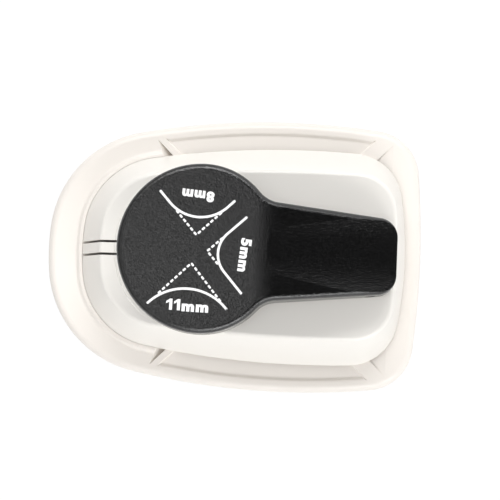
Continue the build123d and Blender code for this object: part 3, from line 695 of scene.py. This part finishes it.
@dataclass
class PrintedMarks:
    """White size marks printed on the palm disc.

    Attributes:
        line_width: width of a solid printed line.
        line_ink: height of its ink above the disc.
        dash_width: width of a dash.
        dash_ink: height of a dash, less than a line's so that their tops never meet in one plane.
        dash_length: length of a dash.
        dash_gap: gap between two dashes.
        tip_share: how far a line's ends are rounded, as a share of its width.
        tip_steps: straight pieces in each rounded corner.
        arc_steps: straight pieces in an arc.
        turn: turn of the whole print against the lever, in degrees.
        setter: sets the numbers.
        marks: the three marks.
    """

    line_width: float = 0.64 * MM
    line_ink: float = 0.03 * MM
    dash_width: float = 0.56 * MM
    dash_ink: float = 0.02 * MM
    dash_length: float = 1.0 * MM
    dash_gap: float = 0.5 * MM
    tip_share: float = 0.25
    tip_steps: int = 2
    arc_steps: int = 32
    turn: float = 2.24
    setter: NumberSetter = field(default_factory=NumberSetter)
    marks: tuple[SizeMark, ...] = SIZE_MARKS

    def build(self, bench: Workbench, centre: Vector) -> None:
        """Prints the marks.

        Args:
            bench: makes the objects.
            centre: the disc's middle on its top face.
        """
        ink = PRINT_INK.build()
        place = Matrix.Translation(centre) @ Matrix.Rotation(math.radians(self.turn), 4, "Z")
        for mark in self.marks:
            lines = self.draw_corner(mark)
            lines.transform(place)
            bench.add(f"print_corner_{mark.label}", lines, Body.LEVER, ink, Slot.BLACK)
            letters = self.draw_label(mark)
            letters.transform(place)
            bench.add(f"print_number_{mark.label}", letters, Body.LEVER, ink, Slot.BLACK)

    def draw_corner(self, mark: SizeMark) -> bmesh.types.BMesh:
        """Draws one corner: its dashes, and legs and arc as one line.

        Args:
            mark: the mark to draw.

        Returns:
            The lines about the disc's middle.
        """
        mesh = bmesh.new()
        corner = Vector((*mark.corner, 0))
        ends = [Vector((*end, 0)) for end in mark.ends]
        ways = [(end - corner).normalized() for end in ends]
        opening = ways[0].angle(ways[1])
        radius = mark.touch * math.tan(opening / 2)
        middle = corner + (ways[0] + ways[1]).normalized() * radius / math.sin(opening / 2)
        first_spoke = corner + ways[0] * mark.touch - middle
        sweep = math.pi - opening
        arc = [
            middle + Matrix.Rotation(sweep * step / self.arc_steps, 3, "Z") @ first_spoke
            for step in range(self.arc_steps + 1)
        ]
        self.add_line(mesh, [ends[0], *arc, ends[1]], self.line_width, self.line_ink)
        pitch = self.dash_length + self.dash_gap
        for start, way in zip((0, self.dash_width), ways):
            for index in range(int((mark.dash_reach - start + self.dash_gap) / pitch)):
                low = corner + way * (start + index * pitch)
                self.add_line(mesh, [low, low + way * self.dash_length], self.dash_width, self.dash_ink)
        return mesh

    def add_line(self, mesh: bmesh.types.BMesh, path: list[Vector], width: float, ink: float) -> None:
        """Adds a printed line along a path, with soft ends.

        Args:
            mesh: takes the new faces.
            path: places along the line's middle.
            width: the line's width.
            ink: the line's height.
        """
        edges = []
        for index, place in enumerate(path):
            along = path[min(index + 1, len(path) - 1)] - path[max(index - 1, 0)]
            across = Vector((-along.y, along.x, 0)).normalized() * width / 2
            edges.append((mesh.verts.new(place - across), mesh.verts.new(place + across)))
        flats = [mesh.faces.new((a, c, d, b)) for (a, b), (c, d) in zip(edges, edges[1:])]
        raised = raise_faces(mesh, flats, ink)
        tips = {vert for pair in (edges[0], edges[-1]) for vert in pair}
        corners = [edge for vert in tips for edge in vert.link_edges if edge.other_vert(vert) in raised]
        bmesh.ops.bevel(
            mesh,
            geom=corners,
            offset=width * self.tip_share,
            segments=self.tip_steps,
            profile=0.5,
            affect="EDGES",
            material=-1,
        )
        bmesh.ops.recalc_face_normals(mesh, faces=mesh.faces)

    def draw_label(self, mark: SizeMark) -> bmesh.types.BMesh:
        """Sets a mark's number and turns it into place.

        Args:
            mark: the mark whose number is set.

        Returns:
            The number about the disc's middle.
        """
        letters = self.setter.set_label(mark.label)
        low = Vector([min(vert.co[axis] for vert in letters.verts) for axis in range(3)])
        high = Vector([max(vert.co[axis] for vert in letters.verts) for axis in range(3)])
        length, height = mark.text_size
        span = high - low
        shrink = Matrix.Diagonal((length / span.x, height / span.y, self.line_ink / span.z, 1.0))
        centring = Matrix.Translation(-Vector(((low.x + high.x) / 2, (low.y + high.y) / 2, low.z)))
        turn = Matrix.Rotation(math.radians(mark.text_turn), 4, "Z")
        letters.transform(Matrix.Translation(Vector((*mark.text_place, 0))) @ turn @ shrink @ centring)
        return letters


@dataclass
class ReturnSprings:
    """The compression springs, wound anew round their posts.

    Attributes:
        nodes: the CAD springs that the new pieces stand for.
        joint: the joint that would press them; it is not used.
        wire: thickness of the wire.
        wire_sides: corners of the wire's section.
        turn_steps: steps of one turn.
        end_turns: closed turns at each end.
        live_turns: open turns between them.
        end_pitch: rise of a closed turn, as a share of the wire.
    """

    nodes: tuple[str, ...] = ("return_spring_nose", "return_spring_left", "return_spring_right")
    joint: str = "carrier_slide"
    wire: float = 0.7 * MM
    wire_sides: int = 12
    turn_steps: int = 36
    end_turns: float = 1.25
    live_turns: float = 3.5
    end_pitch: float = 1.06

    def build(self, bench: Workbench, frame: dict) -> None:
        """Winds each spring round its post, lets it ride on the base and hides the CAD spring that it stands
        for.

        Args:
            bench: makes the objects.
        """
        for node in self.nodes:
            low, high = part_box(node)
            coil = self.wind(low, high)
            piece = bench.add(node + "_coil", coil, Body.BASE, bench.materials[Slot.SPRING], Slot.SPRING)
            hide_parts(node)
            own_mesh(piece)

    def wind(self, low: Vector, high: Vector) -> bmesh.types.BMesh:
        """Spins a round wire section up through a closed end, the open turns and the other closed end.

        Args:
            low: lowest corner of the spring's box.
            high: highest corner of the spring's box.

        Returns:
            The spring's mesh, in place.
        """
        middle = (low + high) / 2
        coil_radius = (high.x - low.x - self.wire) / 2
        end_rise = self.wire * self.end_pitch * self.end_turns
        live_rise = high.z - low.z - self.wire - 2 * end_rise
        spring = bmesh.new()
        start = Matrix.Translation((middle.x + coil_radius, middle.y, low.z + self.wire / 2))
        section = start @ Matrix.Rotation(math.pi / 2, 4, "X")
        bmesh.ops.create_circle(spring, segments=self.wire_sides, radius=self.wire / 2, matrix=section)
        ring = spring.verts[:] + spring.edges[:]
        stretches = ((self.end_turns, end_rise), (self.live_turns, live_rise), (self.end_turns, end_rise))
        for turns, rise in stretches:
            steps = round(turns * self.turn_steps)
            wound = bmesh.ops.spin(
                spring,
                geom=ring,
                cent=(middle.x, middle.y, 0),
                axis=(0, 0, 1),
                dvec=(0, 0, rise / steps),
                angle=math.tau * turns,
                steps=steps,
            )
            ring = wound["geom_last"]
        open_edges = [edge for edge in spring.edges if edge.is_boundary]
        bmesh.ops.holes_fill(spring, edges=open_edges, sides=self.wire_sides)
        bmesh.ops.recalc_face_normals(spring, faces=spring.faces[:])
        for face in spring.faces:
            face.smooth = len(face.verts) == 4
        return spring


@dataclass
class Punch:
    """The dressed punch: CAD nodes with their finishes, the print on the lever and the springs.

    Attributes:
        marks: the printed marks.
        springs: the return springs.
    """

    frame: dict
    marks: PrintedMarks = field(default_factory=PrintedMarks)
    springs: ReturnSprings = field(default_factory=ReturnSprings)

    def build(self) -> None:
        """Dresses the nodes and adds the new pieces."""
        materials = {slot: finish.build() for slot, finish in FINISHES.items()}
        self.dress_nodes(materials)
        bench = Workbench(materials)
        self.marks.build(bench, self.disc_centre())
        self.springs.build(bench, self.frame)

    def dress_nodes(self, materials: dict[Slot, bpy.types.Material]) -> None:
        """Gives each CAD node the finish of its record slot.

        Args:
            materials: one material for each slot of the record.
        """
        slots = {entry["node"]: Slot(entry["material_slot"]) for entry in self.frame["record"]["subparts"]}
        for name, node in self.frame["nodes"].items():
            node.data.materials.clear()
            node.data.materials.append(materials[slots[name]])
            log.info("%s: finish %s", name, slots[name].value)

    def disc_centre(self) -> Vector:
        """Middle of the palm disc on its top face, worked out from the lever's box."""
        low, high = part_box("press_lever")
        return Vector((low.x + (high.y - low.y) / 2, (low.y + high.y) / 2, high.z))


@dataclass
class Floor:
    """A wide floor, white to the camera and in mirrored views, but still taking the object's shadow.

    Attributes:
        half_side: half the floor's side in metres.
        grey: linear grey that the floor scatters of the studio's light.
        glow: strength of its plain white.
        glow_share: share of that white where the camera or a mirrored view sees it.
    """

    half_side: float = 3.0
    grey: float = 0.6
    glow: float = 1.1
    glow_share: float = 0.85

    def build(self) -> None:
        """Makes the floor and its material."""
        mesh = bmesh.new()
        bmesh.ops.create_grid(mesh, x_segments=1, y_segments=1, size=self.half_side)
        data = bpy.data.meshes.new("floor")
        mesh.to_mesh(data)
        mesh.free()
        floor = bpy.data.objects.new("floor", data)
        bpy.context.scene.collection.objects.link(floor)
        material, graph = new_material("floor_white")
        rays = graph.add("ShaderNodeLightPath").outputs
        mirrored = graph.combine("MAXIMUM", rays["Is Glossy Ray"], rays["Is Transmission Ray"])
        seen = graph.combine("MAXIMUM", rays["Is Camera Ray"], mirrored)
        share = graph.combine("MULTIPLY", seen, self.glow_share)
        diffuse = graph.add("ShaderNodeBsdfDiffuse", Color=(self.grey, self.grey, self.grey, 1.0))
        glow = graph.add("ShaderNodeEmission", Color=(*PURE_WHITE, 1.0), Strength=self.glow)
        mix = graph.add("ShaderNodeMixShader")
        output = graph.add("ShaderNodeOutputMaterial")
        graph.link(share, mix.inputs["Fac"])
        graph.link(diffuse.outputs["BSDF"], mix.inputs[1])
        graph.link(glow.outputs["Emission"], mix.inputs[2])
        graph.link(mix.outputs["Shader"], output.inputs["Surface"])
        data.materials.append(material)


@dataclass
class Surround:
    """A white surround like a light tent, with a dark flag that keeps the lever's tail black.

    Attributes:
        ring_glow: strength of the bright ring.
        roof_glow: strength of the roof.
        roof_edge: heights above the horizon where the ring ends and the roof begins, in degrees.
        skirt_share: share of the ring's strength near the horizon.
        skirt_edge: heights above the horizon where the skirt ends and the ring begins, in degrees.
        end_share: shares of the strength at the nose's end and at the tail's end.
        flag_way: where the flag hangs, over the lever's tail.
        flag_shade: share of the strength inside the flag.
        flag_edge: angles from its middle where the flag starts and where it is full, in degrees.
    """

    ring_glow: float = 2.2
    roof_glow: float = 0.3
    roof_edge: tuple[float, float] = (52, 62)
    skirt_share: float = 0.4
    skirt_edge: tuple[float, float] = (28, 40)
    end_share: tuple[float, float] = (0.38, 1.6)
    flag_way: tuple[float, float, float] = (0.55, 0.0, 0.84)
    flag_shade: float = 0.02
    flag_edge: tuple[float, float] = (40, 29)

    def build(self) -> None:
        """Makes the world and its shades, which are multiplied with each other."""
        world = bpy.data.worlds.new("surround")
        world.use_nodes = True
        graph = NodeGraph(world.node_tree)
        direction = graph.add("ShaderNodeTexCoord").outputs["Generated"]
        parts = graph.add("ShaderNodeSeparateXYZ")
        nearness = graph.add("ShaderNodeVectorMath", operation="DOT_PRODUCT")
        nearness.inputs[1].default_value = Vector(self.flag_way).normalized()
        graph.link(direction, parts.inputs[0])
        graph.link(direction, nearness.inputs[0])
        roof_span = tuple(math.sin(math.radians(angle)) for angle in self.roof_edge)
        skirt_span = tuple(math.sin(math.radians(angle)) for angle in self.skirt_edge)
        flag_span = tuple(math.cos(math.radians(angle)) for angle in self.flag_edge)
        strength = graph.band(parts.outputs["Z"], self.ring_glow, self.roof_glow, roof_span, soft=True)
        shades = (
            graph.band(parts.outputs["Z"], self.skirt_share, 1, skirt_span, soft=True),
            graph.band(parts.outputs["X"], *self.end_share, (-1, 1), soft=True),
            graph.band(nearness.outputs["Value"], 1, self.flag_shade, flag_span, soft=True),
        )
        for shade in shades:
            strength = graph.combine("MULTIPLY", strength, shade)
        background = graph.add("ShaderNodeBackground", Color=(*PURE_WHITE, 1.0))
        output = graph.add("ShaderNodeOutputWorld")
        graph.link(strength, background.inputs["Strength"])
        graph.link(background.outputs["Background"], output.inputs["Surface"])
        bpy.context.scene.world = world


@dataclass(frozen=True)
class Lamp:
    """A rectangular soft lamp.

    Attributes:
        name: the lamp's name.
        place: its position in metres.
        size: its two sides in metres.
        power: its power in watts.
    """

    name: str
    place: tuple[float, float, float]
    size: tuple[float, float]
    power: float

    def build(self, target: Vector) -> None:
        """Makes the lamp and turns it to its target.

        Args:
            target: the point that it faces.
        """
        light = bpy.data.lights.new(self.name, "AREA")
        light.shape = "RECTANGLE"
        light.size, light.size_y = self.size
        light.energy = self.power
        lamp = bpy.data.objects.new(self.name, light)
        bpy.context.scene.collection.objects.link(lamp)
        lamp.location = self.place
        lamp.rotation_mode = "QUATERNION"
        lamp.rotation_quaternion = (target - Vector(self.place)).to_track_quat("-Z", "Y")


# A key over the +Y side, a lower fill from the other side and a small panel over the disc.
LAMPS = (
    Lamp(name="key_panel", place=(0.0, 0.76, 0.82), size=(0.8, 0.35), power=5.3),
    Lamp(name="fill_panel", place=(0.3, -0.85, 0.6), size=(0.8, 0.35), power=3.8),
    Lamp(name="disc_panel", place=(-0.12, -0.03, 1.1), size=(0.3, 0.34), power=0.85),
)


@dataclass
class PhotoCamera:
    """The camera at the photograph's angle.

    Attributes:
        distance: distance from the camera to the aim point.
        focal_pixels: focal length in pixels of the photograph's frame.
        frame_pixels: side of the photograph's frame.
        sensor: width of the sensor in millimetres.
        clip_range: nearest and furthest distance that it sees.
        roll: clockwise turn of the punch in the picture, in degrees.
        lean: how far the camera leans to the side nearest the picture's foot, in degrees.
        aim: what lies in the middle of the picture, in metres from the footprint's middle, along the picture.
        aim_height: height of the aim point.
    """

    distance: float = 0.795
    focal_pixels: float = 2786.0
    frame_pixels: float = 500.0
    sensor: float = 36.0
    clip_range: tuple[float, float] = (0.01, 20.0)
    roll: float = 2.24
    lean: float = 2.1
    aim: tuple[float, float] = (4.4 * MM, 1.58 * MM)
    aim_height: float = 8 * MM

    def build(self) -> None:
        """Sets the camera so that the punch lies in the frame as in the photograph."""
        data = bpy.data.cameras.new("camera")
        data.sensor_width = self.sensor
        data.lens = self.focal_pixels / self.frame_pixels * self.sensor
        data.clip_start, data.clip_end = self.clip_range
        camera = bpy.data.objects.new("camera", data)
        bpy.context.scene.collection.objects.link(camera)
        roll, lean = math.radians(self.roll), math.radians(self.lean)
        right = Vector((math.cos(roll), math.sin(roll), 0))
        flat_up = Vector((-math.sin(roll), math.cos(roll), 0))
        back = Vector((0, 0, math.cos(lean))) - flat_up * math.sin(lean)
        up = back.cross(right)
        aim = right * self.aim[0] + flat_up * self.aim[1] + Vector((0, 0, self.aim_height))
        camera.location = aim + back * self.distance
        camera.rotation_mode = "QUATERNION"
        camera.rotation_quaternion = Matrix((right, up, back)).transposed().to_quaternion()
        bpy.context.scene.camera = camera


@dataclass
class Studio:
    """Pale floor, soft lights and the camera.

    Attributes:
        floor: the floor.
        surround: the light tent.
        lamps: the soft lamps.
        lamp_target: height of the point that the lamps face.
        camera: the camera.
    """

    floor: Floor = field(default_factory=Floor)
    surround: Surround = field(default_factory=Surround)
    lamps: tuple[Lamp, ...] = LAMPS
    lamp_target: float = 20 * MM
    camera: PhotoCamera = field(default_factory=PhotoCamera)

    def build(self) -> None:
        """Makes floor, surround, lamps and camera."""
        self.floor.build()
        self.surround.build()
        for lamp in self.lamps:
            lamp.build(Vector((0, 0, self.lamp_target)))
        self.camera.build()


def main() -> None:
    """Builds the punch and its studio in order."""
    logging.basicConfig(level=logging.INFO, format="%(name)s: %(message)s")
    bpy.context.scene.view_settings.view_transform = "Standard"
    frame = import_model()
    Punch(frame).build()
    Studio().build()


if __name__ == "__main__":
    main()
